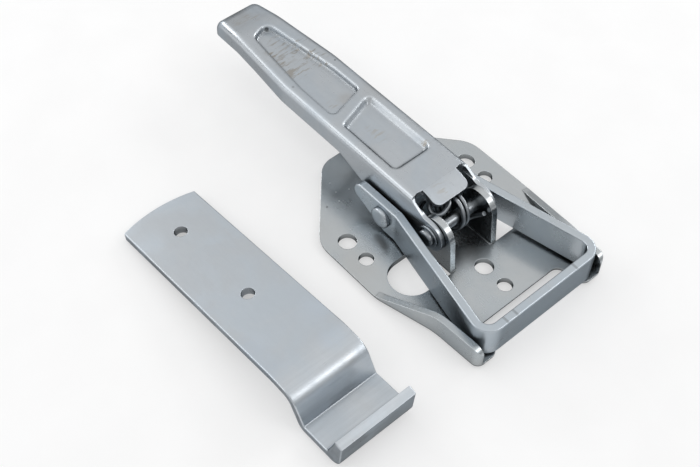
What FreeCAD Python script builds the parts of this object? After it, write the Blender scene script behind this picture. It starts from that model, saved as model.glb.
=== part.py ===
"""Trailer drop side latch: a pressed lever on a bolted base, its pull loop and the hook plate.

Frame: millimetres, +X from the lever's tip towards the hook side, +Z up from the mounting
face. The origin is midway between the two rear bolt holes, on the underside of the base.
The lever is closed. The hook plate lies beside the latch on the same surface.
"""
import FreeCAD
import Part
import Sketcher
import math
import os
from FreeCAD import Placement, Rotation, Vector

# Driving sizes: name, value, what it sets
SIZES = [
    ("base_gauge", 3.0, "thickness of the base's steel"),
    ("base_half", 46.5, "half width of the base at its bolt holes"),
    ("base_rear", 41.7, "rear edge behind the origin"),
    ("base_rear_half", 16.0, "half width of the rear edge, sharp corner to sharp corner"),
    ("side_rear", 7.3, "where the straight sides begin, behind the origin"),
    ("side_front", 30.0, "where the sides turn inwards"),
    ("waist_x", 58.0, "where the wings turn parallel"),
    ("waist_half", 39.2, "half width over the wings there"),
    ("front_x", 83.0, "front end of the two feet"),
    ("front_half", 38.0, "half width over the wings at the front"),
    ("recess_x", 68.7, "front edge of the plate between the feet"),
    ("recess_half", 24.5, "half width of that recess"),
    ("foot_inner_half", 26.0, "inner side of each foot at its end"),
    ("rear_corner", 12.0, "corner radius of the rear edge"),
    ("side_corner", 15.0, "corner radius where the straight sides begin"),
    ("foot_corner", 4.0, "corner radius of the feet and of the recess"),
    ("wing_top", 12.9, "top of the wings above the mounting face"),
    ("wing_rise_end", 59.0, "where the wings reach their full height"),
    ("wing_nose", 5.0, "radius of the wings' front top corner"),
    ("bolt_d", 8.5, "large bolt holes"),
    ("screw_d", 7.0, "small screw holes"),
    ("hole_half", 36.2, "rear holes from the centre line"),
    ("hole_step", 12.6, "small hole in front of its large hole"),
    ("front_hole_x", 48.5, "large front hole"),
    ("ear_inside", 10.9, "inner face of each base ear from the centre line"),
    ("ear_length", 20.5, "base ear along the latch, at its foot"),
    ("ear_round", 9.05, "radius of the base ear's top"),
    ("ear_lead", 1.7, "centre of the ear's round in front of the pivot"),
    ("ear_foot_lead", 0.85, "middle of the ear's foot in front of the centre of its round"),
    ("window_reach", 37.85, "outer end of each window from the centre line"),
    ("bend_in", 1.0, "inside bend radius of the base"),
    ("pivot_x", 29.2, "lever pivot in front of the origin"),
    ("pivot_z", 19.2, "lever pivot above the mounting face"),
    ("pin_d", 6.0, "pivot pin"),
    ("pin_head_d", 8.0, "pivot pin's heads"),
    ("pin_head_t", 2.0, "height of those heads"),
    ("washer_d", 10.8, "washer under the formed head"),
    ("washer_t", 0.8, "washer thickness"),
    ("run_clear", 0.07, "radial clearance of a turning joint"),
    ("face_clear", 0.1, "gap between faces that slide past each other"),
    ("lever_gauge", 2.0, "thickness of the lever's steel"),
    ("lever_half", 16.2, "half width of the lever"),
    ("lever_top", 33.0, "top of the lever"),
    ("tip_x", 127.5, "lever tip behind the origin"),
    ("tip_half", 11.4, "half width of the tip"),
    ("taper_x", 70.0, "where the lever starts to narrow, behind the origin"),
    ("droop_x", 108.0, "where the lever's top starts to droop, behind the origin"),
    ("droop_round", 60.0, "radius at that place"),
    ("tip_top", 30.6, "height the drooping top would reach at the tip"),
    ("nose_round", 8.0, "radius of the tip where the top curls down"),
    ("nose_z", 21.8, "lower edge of the tip"),
    ("fold", 3.0, "outside radius of the lever's folds"),
    ("skirt_z", 22.4, "lower edge of the lever's walls along the grip"),
    ("grip_z", 23.9, "lower edge of the walls in the middle of the taper"),
    ("taper_round", 60.0, "radius in plan where the taper starts"),
    ("shoulder_x", 17.0, "where the walls' top edge steps down, in front of the origin"),
    ("lever_ear_round", 7.7, "radius of the lever's ear about the pivot"),
    ("boss_round", 5.8, "radius of the walls about the loop rivets"),
    ("lip_half", 9.7, "half width of the lip between the slots"),
    ("lip_x", 26.3, "front edge of the lip"),
    ("lip_drop", 2.6, "how far the lip bends down"),
    ("lip_corner", 3.5, "corner radius of the lip"),
    ("slot_rear", 16.6, "rear end of the slots that clear the base ears"),
    ("dish_depth", 2.7, "depth of the two pressed dishes"),
    ("rear_dish_tip", 105.4, "narrow end of the rear dish, behind the origin"),
    ("rear_dish_tip_half", 5.45, "half width of that end"),
    ("rear_dish_end", 42.4, "wide end of the rear dish, behind the origin"),
    ("rear_dish_half", 10.3, "half width of the rear dish"),
    ("rear_dish_taper", 64.0, "where the rear dish starts to narrow, behind the origin"),
    ("front_dish_rear", 37.0, "rear end of the front dish, behind the origin"),
    ("front_dish_front", 1.7, "front end of the front dish"),
    ("front_dish_half", 10.85, "half width of the front dish"),
    ("dish_corner", 3.0, "corner radius of the dishes"),
    ("dish_gap_skew", 6.1, "how far the bar between the dishes leans across the lever"),
    ("rear_dish_slope", 24.0, "wall slope of the rear dish, degrees"),
    ("front_dish_slope", 38.0, "wall slope of the front dish, degrees"),
    ("rivet_x", 5.1, "loop rivets in front of the origin"),
    ("rivet_z", 13.0, "loop rivets above the mounting face"),
    ("rivet_d", 6.0, "loop rivet shank"),
    ("rivet_head_d", 10.2, "loop rivet outer head"),
    ("rivet_head_t", 1.9, "height of that head"),
    ("rivet_tail_d", 8.8, "loop rivet inner head"),
    ("rivet_tail_t", 1.5, "height of that head"),
    ("loop_gauge", 3.9, "thickness of the loop's bar"),
    ("loop_gap", 1.0, "gap between the lever's walls and the loop"),
    ("loop_rear", 13.4, "rear end of the loop's arms, behind the origin"),
    ("loop_bend_x", 13.5, "where the arms turn outwards"),
    ("loop_front", 82.6, "front face of the loop"),
    ("loop_corner_half", 36.3, "sharp front corner from the centre line"),
    ("loop_corner", 8.0, "outside radius of the loop's front corners"),
    ("loop_bottom", 4.3, "underside of the loop"),
    ("loop_height", 16.5, "height of the loop's bar"),
    ("arm_nose_z", 13.5, "lowest point of the arms' rear noses"),
    ("wire_d", 2.0, "spring wire"),
    ("coil_r", 7.4, "mean radius of the spring's coil"),
    ("coil_turns", 2.0, "turns of the spring's coil"),
    ("coil_pitch", 2.3, "pitch of the coil"),
    ("coil_start", -0.7, "left end of the coil's whole turns from the centre line"),
    ("coil_lean", 0.16, "how far the coil leans to the right, for each millimetre of height"),
    ("hook_width", 38.0, "width of the hook plate"),
    ("hook_gauge", 4.0, "thickness of the hook plate"),
    ("hook_flat", 105.3, "rear edge of the hook plate to its first bend"),
    ("hook_crown", 12.4, "length from the first bend to the edge of the step"),
    ("hook_crown_drop", 1.9, "fall along that length"),
    ("hook_crown_round", 9.0, "outside radius of the bend at the edge of the step"),
    ("hook_step_run", 5.3, "length of the step down to the tray"),
    ("hook_step_drop", 13.6, "height of that step"),
    ("hook_tray", 14.1, "length of the tray"),
    ("hook_tray_drop", 0.7, "fall along the tray"),
    ("hook_lip_rise", 12.8, "height of the lip above the tray"),
    ("hook_lip_lean", 6.2, "how far the lip leans forwards"),
    ("hook_toe", 6.6, "outside foot of the lip in front of the end of the tray"),
    ("hook_toe_round", 5.5, "outside radius of that foot"),
    ("hook_bulge", 3.0, "bulge of the rear edge"),
    ("hook_hole_d", 6.2, "hook plate holes"),
    ("hook_hole_1", 16.4, "first hole from the rear corners"),
    ("hook_hole_2", 65.2, "second hole from the rear corners"),
    ("hook_x", 65.15, "rear corners of the hook plate behind the origin"),
    ("hook_y", 89.9, "hook plate's middle line to the side of the latch"),
]

doc = FreeCAD.newDocument("drop_side_latch")
sheet = doc.addObject("Spreadsheet::Sheet", "Sizes")
for row, (alias, value, note) in enumerate(SIZES, 1):
    sheet.set(f"A{row}", alias)
    sheet.set(f"B{row}", str(value))
    sheet.set(f"C{row}", note)
    sheet.setAlias(f"B{row}", alias)
doc.recompute()


class Cells:
    """The spreadsheet's values as plain numbers, by alias."""

    def __getattr__(self, alias):
        return float(sheet.get(alias))


S = Cells()
MARGIN = 30.0     # how far a trimming cut runs past the piece


# Outlines

def corner_round(before, corner, after, radius):
    """Start, middle and end of the arc that rounds one corner of an outline."""
    here = Vector(corner[0], corner[1], 0)
    back = (Vector(before[0], before[1], 0) - here).normalize()
    ahead = (Vector(after[0], after[1], 0) - here).normalize()
    half = back.getAngle(ahead) / 2
    reach = radius / math.tan(half)
    centre = here + (back + ahead).normalize() * (radius / math.sin(half))
    middle = centre + (here - centre).normalize() * radius
    return here + back * reach, middle, here + ahead * reach


def draw(sketch, corners):
    """Draw a closed outline of straight sides whose corners (x, y, radius) are rounded."""
    count = len(corners)
    stops = []
    for i, corner in enumerate(corners):
        if corner[2] > 0:
            stops.append(corner_round(corners[i - 1], corner, corners[(i + 1) % count], corner[2]))
        else:
            point = Vector(corner[0], corner[1], 0)
            stops.append((point, None, point))
    for i, (start, middle, end) in enumerate(stops):
        if middle is not None:
            sketch.addGeometry(Part.Arc(start, middle, end), False)
        following = stops[(i + 1) % count][0]
        if (following - end).Length > 1e-6:
            sketch.addGeometry(Part.LineSegment(end, following), False)


def draw_circle(sketch, x, y, alias):
    """A circle at x, y whose diameter is bound to a cell."""
    radius = float(sheet.get(alias)) / 2
    ring = sketch.addGeometry(Part.Circle(Vector(x, y, 0), Vector(0, 0, 1), radius), False)
    index = sketch.addConstraint(Sketcher.Constraint("Diameter", ring, 2 * radius))
    sketch.setExpression(f"Constraints[{index}]", f"Sizes.{alias}")
    return ring


def mirrored(corners):
    """The outline's other half: the same corners across y = 0, in reverse order."""
    return [(x, -y, r) for x, y, r in reversed(corners)]


def bend_arc(centre, radius, side):
    """Quarter circle of a bend's outside, from the underside up to the ear's outer face."""
    start = Vector(centre, 0, 0)
    end = Vector(centre + side * radius, radius, 0)
    half = radius * math.sqrt(0.5)
    return Part.Arc(start, Vector(centre + side * half, radius - half, 0), end)


def offset_side(p, q, distance):
    """The line from p to q moved to its left by a distance, as a point and a direction."""
    dx, dy = q[0] - p[0], q[1] - p[1]
    size = math.hypot(dx, dy)
    return (p[0] - dy / size * distance, p[1] + dx / size * distance), (dx / size, dy / size)


def meet(first, second):
    """Where two lines cross."""
    (px, py), (ux, uy) = first
    (qx, qy), (vx, vy) = second
    cross = ux * vy - uy * vx
    along = ((qx - px) * vy - (qy - py) * vx) / cross
    return px + ux * along, py + uy * along


def moved_in(corners, distance):
    """A closed outline, drawn anticlockwise, moved inwards by a distance."""
    count = len(corners)
    result = []
    for i, (x, y, r) in enumerate(corners):
        arriving = offset_side(corners[i - 1], (x, y), distance)
        leaving = offset_side((x, y), corners[(i + 1) % count], distance)
        result.append((*meet(arriving, leaving), max(r - distance, 0)))
    return result


def strip(path, gauge):
    """Outline of bent sheet: the path (x, y, radius) and its copy one gauge to the left."""
    other = []
    for i, (x, y, r) in enumerate(path):
        if i == 0:
            point = offset_side((x, y), path[1], gauge)[0]
        elif i == len(path) - 1:
            start, way = offset_side(path[i - 1], (x, y), gauge)
            run = math.hypot(x - path[i - 1][0], y - path[i - 1][1])
            point = (start[0] + way[0] * run, start[1] + way[1] * run)
        else:
            arriving = offset_side(path[i - 1], (x, y), gauge)
            leaving = offset_side((x, y), path[i + 1], gauge)
            point = meet(arriving, leaving)
            turn = (x - path[i - 1][0]) * (path[i + 1][1] - y) - (y - path[i - 1][1]) * (path[i + 1][0] - x)
            r = r - gauge if turn > 0 else r + gauge
        other.append((*point, max(r, 0)))
    return path + other[::-1]


def tangent(start, start_radius, end, end_radius):
    """The line that runs along the right of two circles, from the first to the second."""
    dx, dy = end[0] - start[0], end[1] - start[1]
    angle = math.atan2(dy, dx) - math.asin((end_radius - start_radius) / math.hypot(dx, dy))
    way = (math.cos(angle), math.sin(angle))
    return (start[0] + way[1] * start_radius, start[1] - way[0] * start_radius), way


# Features

def new_body(name):
    body = doc.addObject("PartDesign::Body", name)
    body.Label = name
    return body


def new_sketch(body, name, plane, lift=0.0):
    """A sketch on one of the body's own planes, moved along that plane's normal."""
    sketch = body.newObject("Sketcher::SketchObject", name)
    support = [f for f in body.Origin.OriginFeatures if f.Role == plane][0]
    sketch.AttachmentSupport = [(support, "")]
    sketch.MapMode = "FlatFace"
    sketch.AttachmentOffset = Placement(Vector(0, 0, lift), Rotation())
    return sketch


def pad(body, sketch, length, reverse=False, midplane=False, slope=0.0):
    feature = body.newObject("PartDesign::Pad", sketch.Name + "_pad")
    feature.Profile = sketch
    feature.setExpression("Length", length)
    feature.Reversed = reverse
    feature.SideType = "Symmetric" if midplane else "One side"
    feature.TaperAngle = slope
    doc.recompute()
    return feature


def pocket(body, sketch, length=None, reverse=False, midplane=False, slope=0.0):
    """A cut as deep as an expression says, or both ways through everything."""
    volume = body.Tip.Shape.Volume
    feature = body.newObject("PartDesign::Pocket", sketch.Name + "_cut")
    feature.Profile = sketch
    if length is None:
        feature.SideType = "Symmetric"
        feature.Length = 4 * MARGIN * 10
    else:
        feature.setExpression("Length", length)
        feature.SideType = "Symmetric" if midplane else "One side"
    feature.Reversed = reverse
    feature.TaperAngle = slope
    doc.recompute()
    if feature.Shape.isNull() or feature.Shape.Volume > volume - 1e-3:
        raise RuntimeError(f"{feature.Name} cuts nothing")
    return feature


def round_edges(body, name, test, radius):
    """A fillet on the tip's edges that pass a test, its radius an expression."""
    base = body.Tip
    edges = [f"Edge{i}" for i, edge in enumerate(base.Shape.Edges, 1) if test(edge)]
    if not edges:
        raise RuntimeError(f"{name} finds no edge")
    feature = body.newObject("PartDesign::Fillet", name)
    feature.Base = (base, edges)
    feature.setExpression("Radius", radius)
    doc.recompute()
    if feature.Shape.isNull() or "Invalid" in feature.State:
        raise RuntimeError(f"{name} fails on {len(edges)} edges: {feature.getStatusString()}")
    return feature


def trim(body, name, plane, corners):
    """Cut away all that lies outside an outline, seen along the plane's normal."""
    xs = [c[0] for c in corners]
    ys = [c[1] for c in corners]
    low = (min(xs) - MARGIN, min(ys) - MARGIN)
    high = (max(xs) + MARGIN, max(ys) + MARGIN)
    sketch = new_sketch(body, name, plane)
    draw(sketch, [(*low, 0), (high[0], low[1], 0), (*high, 0), (low[0], high[1], 0)])
    draw(sketch, corners)
    return pocket(body, sketch)


def span(edge):
    """Lowest and highest corner of an edge."""
    box = edge.BoundBox
    return (box.XMin, box.YMin, box.ZMin), (box.XMax, box.YMax, box.ZMax)


def level(edge, z):
    box = edge.BoundBox
    return abs(box.ZMin - z) < 1e-4 and abs(box.ZMax - z) < 1e-4


def rod(name, x, z, y, alias, length):
    """A cylinder along Y from y, its diameter a cell and its length an expression."""
    piece = doc.addObject("Part::Cylinder", name)
    piece.setExpression("Radius", f"Sizes.{alias} / 2")
    piece.setExpression("Height", length)
    piece.setExpression("Placement.Base.x", x)
    piece.setExpression("Placement.Base.z", z)
    piece.setExpression("Placement.Base.y", y)
    piece.Placement.Rotation = Rotation(Vector(1, 0, 0), -90)
    return piece


def fuse(name, pieces):
    whole = doc.addObject("Part::MultiFuse", name)
    whole.Shapes = pieces
    whole.Label = name
    return whole


# Base plate: one pressing with two ears, two windows and two bent-up wings

def wing_line():
    """Outer line of the right wing in plan, front to rear."""
    return [(S.front_x, -S.front_half, 0), (S.waist_x, -S.waist_half, 40.0), (S.side_front, -S.base_half, 0)]


def base_outline():
    right = [
        (-S.base_rear, -S.base_rear_half, S.rear_corner),
        (-S.side_rear, -S.base_half, S.side_corner),
        (S.side_front, -S.base_half, 20.0),
        (S.waist_x, -S.waist_half, 40.0),
        (S.front_x, -S.front_half, S.foot_corner),
        (S.front_x, -S.foot_inner_half, S.foot_corner),
        (S.recess_x, -S.recess_half, S.foot_corner),
    ]
    return right + mirrored(right)


def ear_foot():
    """Rear and front end of each base ear where it leaves the plate."""
    middle = S.pivot_x + S.ear_lead + S.ear_foot_lead
    return middle - S.ear_length / 2, middle + S.ear_length / 2


def ear_outline():
    """Side view of a base ear: sides that lean in to a round top."""
    rear, front = ear_foot()
    centre = (S.pivot_x + S.ear_lead, S.pivot_z)
    top = ((0, S.pivot_z + S.ear_round), (1, 0))
    rising = tangent((front, 0), 0, centre, S.ear_round)
    falling = tangent(centre, S.ear_round, (rear, 0), 0)
    return [
        (rear, 0, 0),
        (front, 0, 0),
        (*meet(rising, top), S.ear_round - 0.01),
        (*meet(falling, top), S.ear_round - 0.01),
    ]


def make_base():
    body = new_body("base_plate")
    plan = new_sketch(body, "base_plan", "XY_Plane")
    draw(plan, base_outline())
    pad(body, plan, "Sizes.base_gauge")

    def wing_foot(edge):
        (x0, y0, z0), (x1, y1, z1) = span(edge)
        outside = min(abs(y0), abs(y1)) > S.front_half - S.foot_corner - 0.5
        return level(edge, 0) and x0 > S.side_front - 6 and outside and y0 * y1 > 0

    round_edges(body, "wing_bends", wing_foot, "Sizes.base_gauge - 0.4")

    wings = new_sketch(body, "wing_plan", "XY_Plane", S.base_gauge)
    wing = strip(wing_line()[::-1], S.base_gauge)
    draw(wings, wing)
    draw(wings, mirrored(wing))
    pad(body, wings, "Sizes.wing_top - Sizes.base_gauge")
    trim(body, "wing_ends", "XY_Plane", base_outline())

    side = new_sketch(body, "wing_side", "XZ_Plane")
    over = S.wing_top + MARGIN
    draw(side, [
        (S.side_front - MARGIN / 2, S.base_gauge, 0),
        (S.side_front, S.base_gauge, 20.0),
        (S.wing_rise_end, S.wing_top, 30.0),
        (S.front_x, S.wing_top, S.wing_nose),
        (S.front_x, S.base_gauge, 0),
        (S.front_x + MARGIN, S.base_gauge, 0),
        (S.front_x + MARGIN, over, 0),
        (S.side_front - MARGIN / 2, over, 0),
    ])
    pocket(body, side)

    rear, front = ear_foot()
    inner = S.ear_inside + S.base_gauge
    round_end = S.ear_length / 2 - 0.02
    windows = new_sketch(body, "windows", "XY_Plane")
    window = [
        (front, -inner, 0),
        (rear, -inner, 0),
        (rear, -S.window_reach, round_end),
        (front, -S.window_reach, round_end),
    ]
    draw(windows, window)
    draw(windows, mirrored(window))
    pocket(body, windows, "2 * Sizes.base_gauge", reverse=True)

    for name, lift, reverse in (("right_ear", S.ear_inside, False), ("left_ear", -S.ear_inside, True)):
        ear = new_sketch(body, name, "XZ_Plane", lift)
        draw(ear, ear_outline())
        pad(body, ear, "Sizes.base_gauge", reverse=reverse)

    bends = new_sketch(body, "ear_bends", "YZ_Plane", (rear + front) / 2)
    radius = S.base_gauge + S.bend_in
    for side in (1, -1):
        arc = bend_arc(side * (inner - radius), radius, side)
        bends.addGeometry(arc, False)
        bends.addGeometry(Part.LineSegment(Vector(side * inner, radius, 0), Vector(side * inner, 0, 0)), False)
        bends.addGeometry(Part.LineSegment(Vector(side * inner, 0, 0), Vector(side * (inner - radius), 0, 0)), False)
    pocket(body, bends, "Sizes.ear_length", midplane=True)

    def ear_root(edge):
        (x0, y0, z0), (x1, y1, z1) = span(edge)
        inside = level(edge, S.base_gauge) and abs(abs(y0) - S.ear_inside) < 1e-4
        return inside and abs(y1 - y0) < 1e-6

    round_edges(body, "ear_roots", ear_root, "Sizes.bend_in")

    holes = new_sketch(body, "holes", "XY_Plane")
    for y in (-S.hole_half, S.hole_half):
        draw_circle(holes, 0, y, "bolt_d")
        draw_circle(holes, S.hole_step, y, "screw_d")
    draw_circle(holes, S.front_hole_x, 0, "bolt_d")
    draw_circle(holes, S.front_hole_x + S.hole_step, 0, "screw_d")
    pocket(body, holes, "2 * Sizes.base_gauge", reverse=True)

    bore = new_sketch(body, "ear_bore", "XZ_Plane")
    draw_circle(bore, S.pivot_x, S.pivot_z, "pin_d")
    pocket(body, bore)
    return body


# Lever: a pressed channel with two dishes, two slots and a lip

def lever_plan(inset=0.0):
    """Plan of the lever, or of its inside, with the tip's corners still square."""
    front = S.pivot_x + MARGIN / 2 + (MARGIN if inset else 0)
    right = [
        (-S.tip_x, -S.tip_half, 0),
        (-S.taper_x, -S.lever_half, S.taper_round),
        (S.pivot_x + MARGIN / 2, -S.lever_half, 0),
    ]
    outline = moved_in(right + mirrored(right), inset)
    return [(front if x > S.pivot_x else x, y, r) for x, y, r in outline]


def nose_line(inset):
    """Corner at the tip's end and the one where the top starts to droop, in side view."""
    block = [
        (-S.tip_x, 0, 0),
        (0, 0, 0),
        (0, S.lever_top, 0),
        (-S.droop_x, S.lever_top, S.droop_round),
        (-S.tip_x, S.tip_top, S.nose_round),
    ]
    moved = moved_in(block, inset)
    return moved[4], moved[3]


def make_channel(body, name, inset):
    """A block with the lever's outside, or with its inside one gauge smaller all round."""
    top = S.lever_top - inset
    plan = new_sketch(body, name + "_plan", "XY_Plane")
    draw(plan, lever_plan(inset))
    pad(body, plan, f"Sizes.lever_top - {inset}")
    nose = new_sketch(body, name + "_nose", "XZ_Plane")
    tip, knee = nose_line(inset)
    low = corner_round(knee, tip, (tip[0], 0), tip[2])[2]
    high = corner_round(tip, knee, (0, knee[1]), knee[2])[2]
    draw(nose, [
        (low.x, low.y, 0),
        tip,
        knee,
        (high.x, high.y, 0),
        (high.x, top + 5, 0),
        (tip[0] - 5, top + 5, 0),
        (tip[0] - 5, low.y, 0),
    ])
    pocket(body, nose)

    def fold_line(edge):
        (x0, y0, z0), (x1, y1, z1) = span(edge)
        one_side = y0 * y1 > 0 and min(abs(y0), abs(y1)) > S.tip_half - inset - 0.1
        return one_side and z1 > 0.1 and x0 < S.pivot_x and not level(edge, 0)

    round_edges(body, name + "_folds", fold_line, f"Sizes.fold - {inset}")


def lever_side():
    """Side view of the lever's walls."""
    pivot = (S.pivot_x, S.pivot_z)
    rivet = (S.rivet_x, S.rivet_z)
    belly = (-S.loop_rear - 0.6, S.skirt_z - 5.8)
    front = ((S.pivot_x + S.lever_ear_round, 0), (0, 1))
    under_boss = tangent(rivet, S.boss_round, pivot, S.lever_ear_round)
    behind_boss = tangent(belly, 0, rivet, S.boss_round)
    over = S.lever_top + MARGIN / 2
    ear_top = S.pivot_z + S.lever_ear_round
    return [
        (-S.tip_x - 5, over, 0),
        (-S.tip_x - 5, S.nose_z, 0),
        (-S.tip_x + 4, S.nose_z, 15.0),
        (-S.tip_x + 20, S.grip_z, 20.0),
        (-S.tip_x + 36, S.grip_z - 0.2, 30.0),
        (-S.taper_x, S.skirt_z, 60.0),
        (-29.0, S.skirt_z, 15.0),
        (*belly, 5.0),
        (*meet(behind_boss, under_boss), S.boss_round),
        (*meet(under_boss, front), S.lever_ear_round),
        (S.pivot_x + S.lever_ear_round, ear_top, S.lever_ear_round),
        (S.pivot_x - 4.4, ear_top + 0.1, 4.0),
        (S.shoulder_x, S.lever_top - 1.4, 1.2),
        (S.shoulder_x, over, 0),
    ]


def rear_dish():
    """Top edge of the long dish behind the skewed bar."""
    skew = S.dish_gap_skew / 2
    return [
        (-S.rear_dish_tip + 2.2, -S.rear_dish_tip_half - 0.85, S.dish_corner * 1.5),
        (-S.rear_dish_taper, -S.rear_dish_half - 0.4, 30.0),
        (-S.rear_dish_end + skew, -S.rear_dish_half - 0.6, S.dish_corner),
        (-S.rear_dish_end - skew, S.rear_dish_half - 0.5, S.dish_corner),
        (-S.rear_dish_taper, S.rear_dish_half - 0.7, 30.0),
        (-S.rear_dish_tip - 2.2, S.rear_dish_tip_half - 0.85, S.dish_corner * 1.5),
    ]


def front_dish():
    """Top edge of the dish in front of the bar, square across at its front."""
    skew = S.dish_gap_skew / 2 + 0.5
    return [
        (-S.front_dish_rear + skew, -S.front_dish_half - 0.25, S.dish_corner),
        (S.front_dish_front, -S.front_dish_half - 0.45, S.dish_corner + 0.5),
        (S.front_dish_front, S.front_dish_half - 0.25, S.dish_corner + 0.5),
        (-S.front_dish_rear - skew, S.front_dish_half - 0.25, S.dish_corner),
    ]


def make_lever():
    body = new_body("lever")
    make_channel(body, "lever_outside", 0.0)
    hollow = new_body("lever_hollow")
    make_channel(hollow, "lever_inside", S.lever_gauge)
    under = S.lever_top - S.lever_gauge
    hollowing = body.newObject("PartDesign::Boolean", "lever_hollowing")
    hollowing.Type = "Cut"
    hollowing.setObjects([hollow])
    doc.recompute()
    if hollowing.Shape.isNull() or len(hollowing.Shape.Solids) != 1:
        raise RuntimeError("the lever isn't hollow")
    trim(body, "wall_outline", "XZ_Plane", lever_side())

    lip = new_sketch(body, "lip_section", "XZ_Plane")
    lip_path = [
        (5.0, under, 0),
        (S.slot_rear + 2, under, 14.0),
        (S.lip_x - 0.4, under - S.lip_drop, 0),
    ]
    draw(lip, strip(lip_path, S.lever_gauge))
    pad(body, lip, "2 * Sizes.lip_half", midplane=True)

    def lip_corner(edge):
        (x0, y0, z0), (x1, y1, z1) = span(edge)
        tall = z1 - z0 > S.lever_gauge * 0.8 and z0 > S.pivot_z + 5
        return tall and x0 > S.lip_x - 2 and abs(y1 - y0) < 1e-6 and abs(abs(y0) - S.lip_half) < 1e-4

    round_edges(body, "lip_corners", lip_corner, "Sizes.lip_corner")

    slots = new_sketch(body, "slots", "XY_Plane", S.lever_top + 1)
    wall = S.lever_half - S.lever_gauge + 0.7
    half = (wall - S.lip_half) / 2
    slot = [
        (S.slot_rear, -wall, half - 0.02),
        (S.pivot_x + MARGIN, -wall, 0),
        (S.pivot_x + MARGIN, -S.lip_half, 0),
        (S.slot_rear, -S.lip_half, half - 0.02),
    ]
    draw(slots, slot)
    draw(slots, mirrored(slot))
    pocket(body, slots, "Sizes.lever_gauge + 4")

    for name, dish, slope in (("rear_dish", rear_dish(), "rear_dish_slope"),
                              ("front_dish", front_dish(), "front_dish_slope")):
        angle = float(sheet.get(slope))
        shell = S.lever_gauge * (1 / math.cos(math.radians(angle)) - math.tan(math.radians(angle)))
        bulge = new_sketch(body, name + "_underside", "XY_Plane", under + 0.5)
        draw(bulge, moved_in(dish, -shell))
        back = pad(body, bulge, "Sizes.dish_depth + 0.5", reverse=True, slope=-angle)
        back.setExpression("TaperAngle", f"-Sizes.{slope}")
        rim = new_sketch(body, name + "_rim", "XY_Plane", S.lever_top)
        draw(rim, dish)
        cut = pocket(body, rim, "Sizes.dish_depth", slope=-angle)
        cut.setExpression("TaperAngle", f"-Sizes.{slope}")

    bores = new_sketch(body, "lever_bores", "XZ_Plane")
    radius = S.pin_d / 2 + S.run_clear
    ring = bores.addGeometry(Part.Circle(Vector(S.pivot_x, S.pivot_z, 0), Vector(0, 0, 1), radius), False)
    index = bores.addConstraint(Sketcher.Constraint("Radius", ring, radius))
    bores.setExpression(f"Constraints[{index}]", "Sizes.pin_d / 2 + Sizes.run_clear")
    draw_circle(bores, S.rivet_x, S.rivet_z, "rivet_d")
    pocket(body, bores)
    return body


# Pull loop: a bent flat bar

def make_loop():
    body = new_body("pull_loop")
    inner = S.lever_half + S.loop_gap
    outer = inner + S.loop_gauge
    right = [
        (-S.loop_rear, -outer, 0),
        (S.loop_bend_x, -outer, 8.0),
        (S.loop_front, -S.loop_corner_half, S.loop_corner),
    ]
    plan = new_sketch(body, "loop_plan", "XY_Plane", S.loop_bottom)
    draw(plan, strip(right + mirrored(right), S.loop_gauge))
    pad(body, plan, "Sizes.loop_height")
    top = S.loop_bottom + S.loop_height
    trim(body, "loop_side", "XZ_Plane", [
        (S.loop_front + 5, S.loop_bottom, 0),
        (S.loop_front + 5, top, 0),
        (-S.loop_rear, top, 5.0),
        (-S.loop_rear, S.arm_nose_z, 3.5),
        (S.rivet_x + 1, S.loop_bottom, 6.0),
    ])

    def long_edge(edge):
        return edge.Length > 6 and (level(edge, top) or level(edge, S.loop_bottom))

    round_edges(body, "loop_edges", long_edge, "Sizes.loop_gauge * 0.16")
    bores = new_sketch(body, "loop_bores", "XZ_Plane")
    radius = S.rivet_d / 2 + S.run_clear
    ring = bores.addGeometry(Part.Circle(Vector(S.rivet_x, S.rivet_z, 0), Vector(0, 0, 1), radius), False)
    index = bores.addConstraint(Sketcher.Constraint("Radius", ring, radius))
    bores.setExpression(f"Constraints[{index}]", "Sizes.rivet_d / 2 + Sizes.run_clear")
    pocket(body, bores)
    return body


# Pins and rivets

def make_pin():
    """Pivot pin: a plain head over a washer on the left, and a formed head on the right."""
    x, z = "Sizes.pivot_x", "Sizes.pivot_z"
    face = "(Sizes.lever_half + Sizes.face_clear)"
    left_face = f"({face} + Sizes.washer_t)"
    shank = rod("pin_shank", x, z, f"-{left_face}", "pin_d", f"{left_face} + {face}")
    left = rod("pin_left_head", x, z, f"-{left_face} - Sizes.pin_head_t", "pin_head_d", "Sizes.pin_head_t")
    right = rod("pin_right_head", x, z, face, "pin_head_d", "Sizes.pin_head_t")
    return fuse("pivot_pin", [shank, left, right])


def make_washer():
    x, z = "Sizes.pivot_x", "Sizes.pivot_z"
    start = "-Sizes.lever_half - Sizes.face_clear - Sizes.washer_t"
    ring = doc.addObject("Part::Cut", "pivot_washer")
    ring.Base = rod("washer_disc", x, z, start, "washer_d", "Sizes.washer_t")
    ring.Tool = rod("washer_hole", x, z, start, "pin_d", "Sizes.washer_t")
    ring.Label = "pivot_washer"
    return ring


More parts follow.
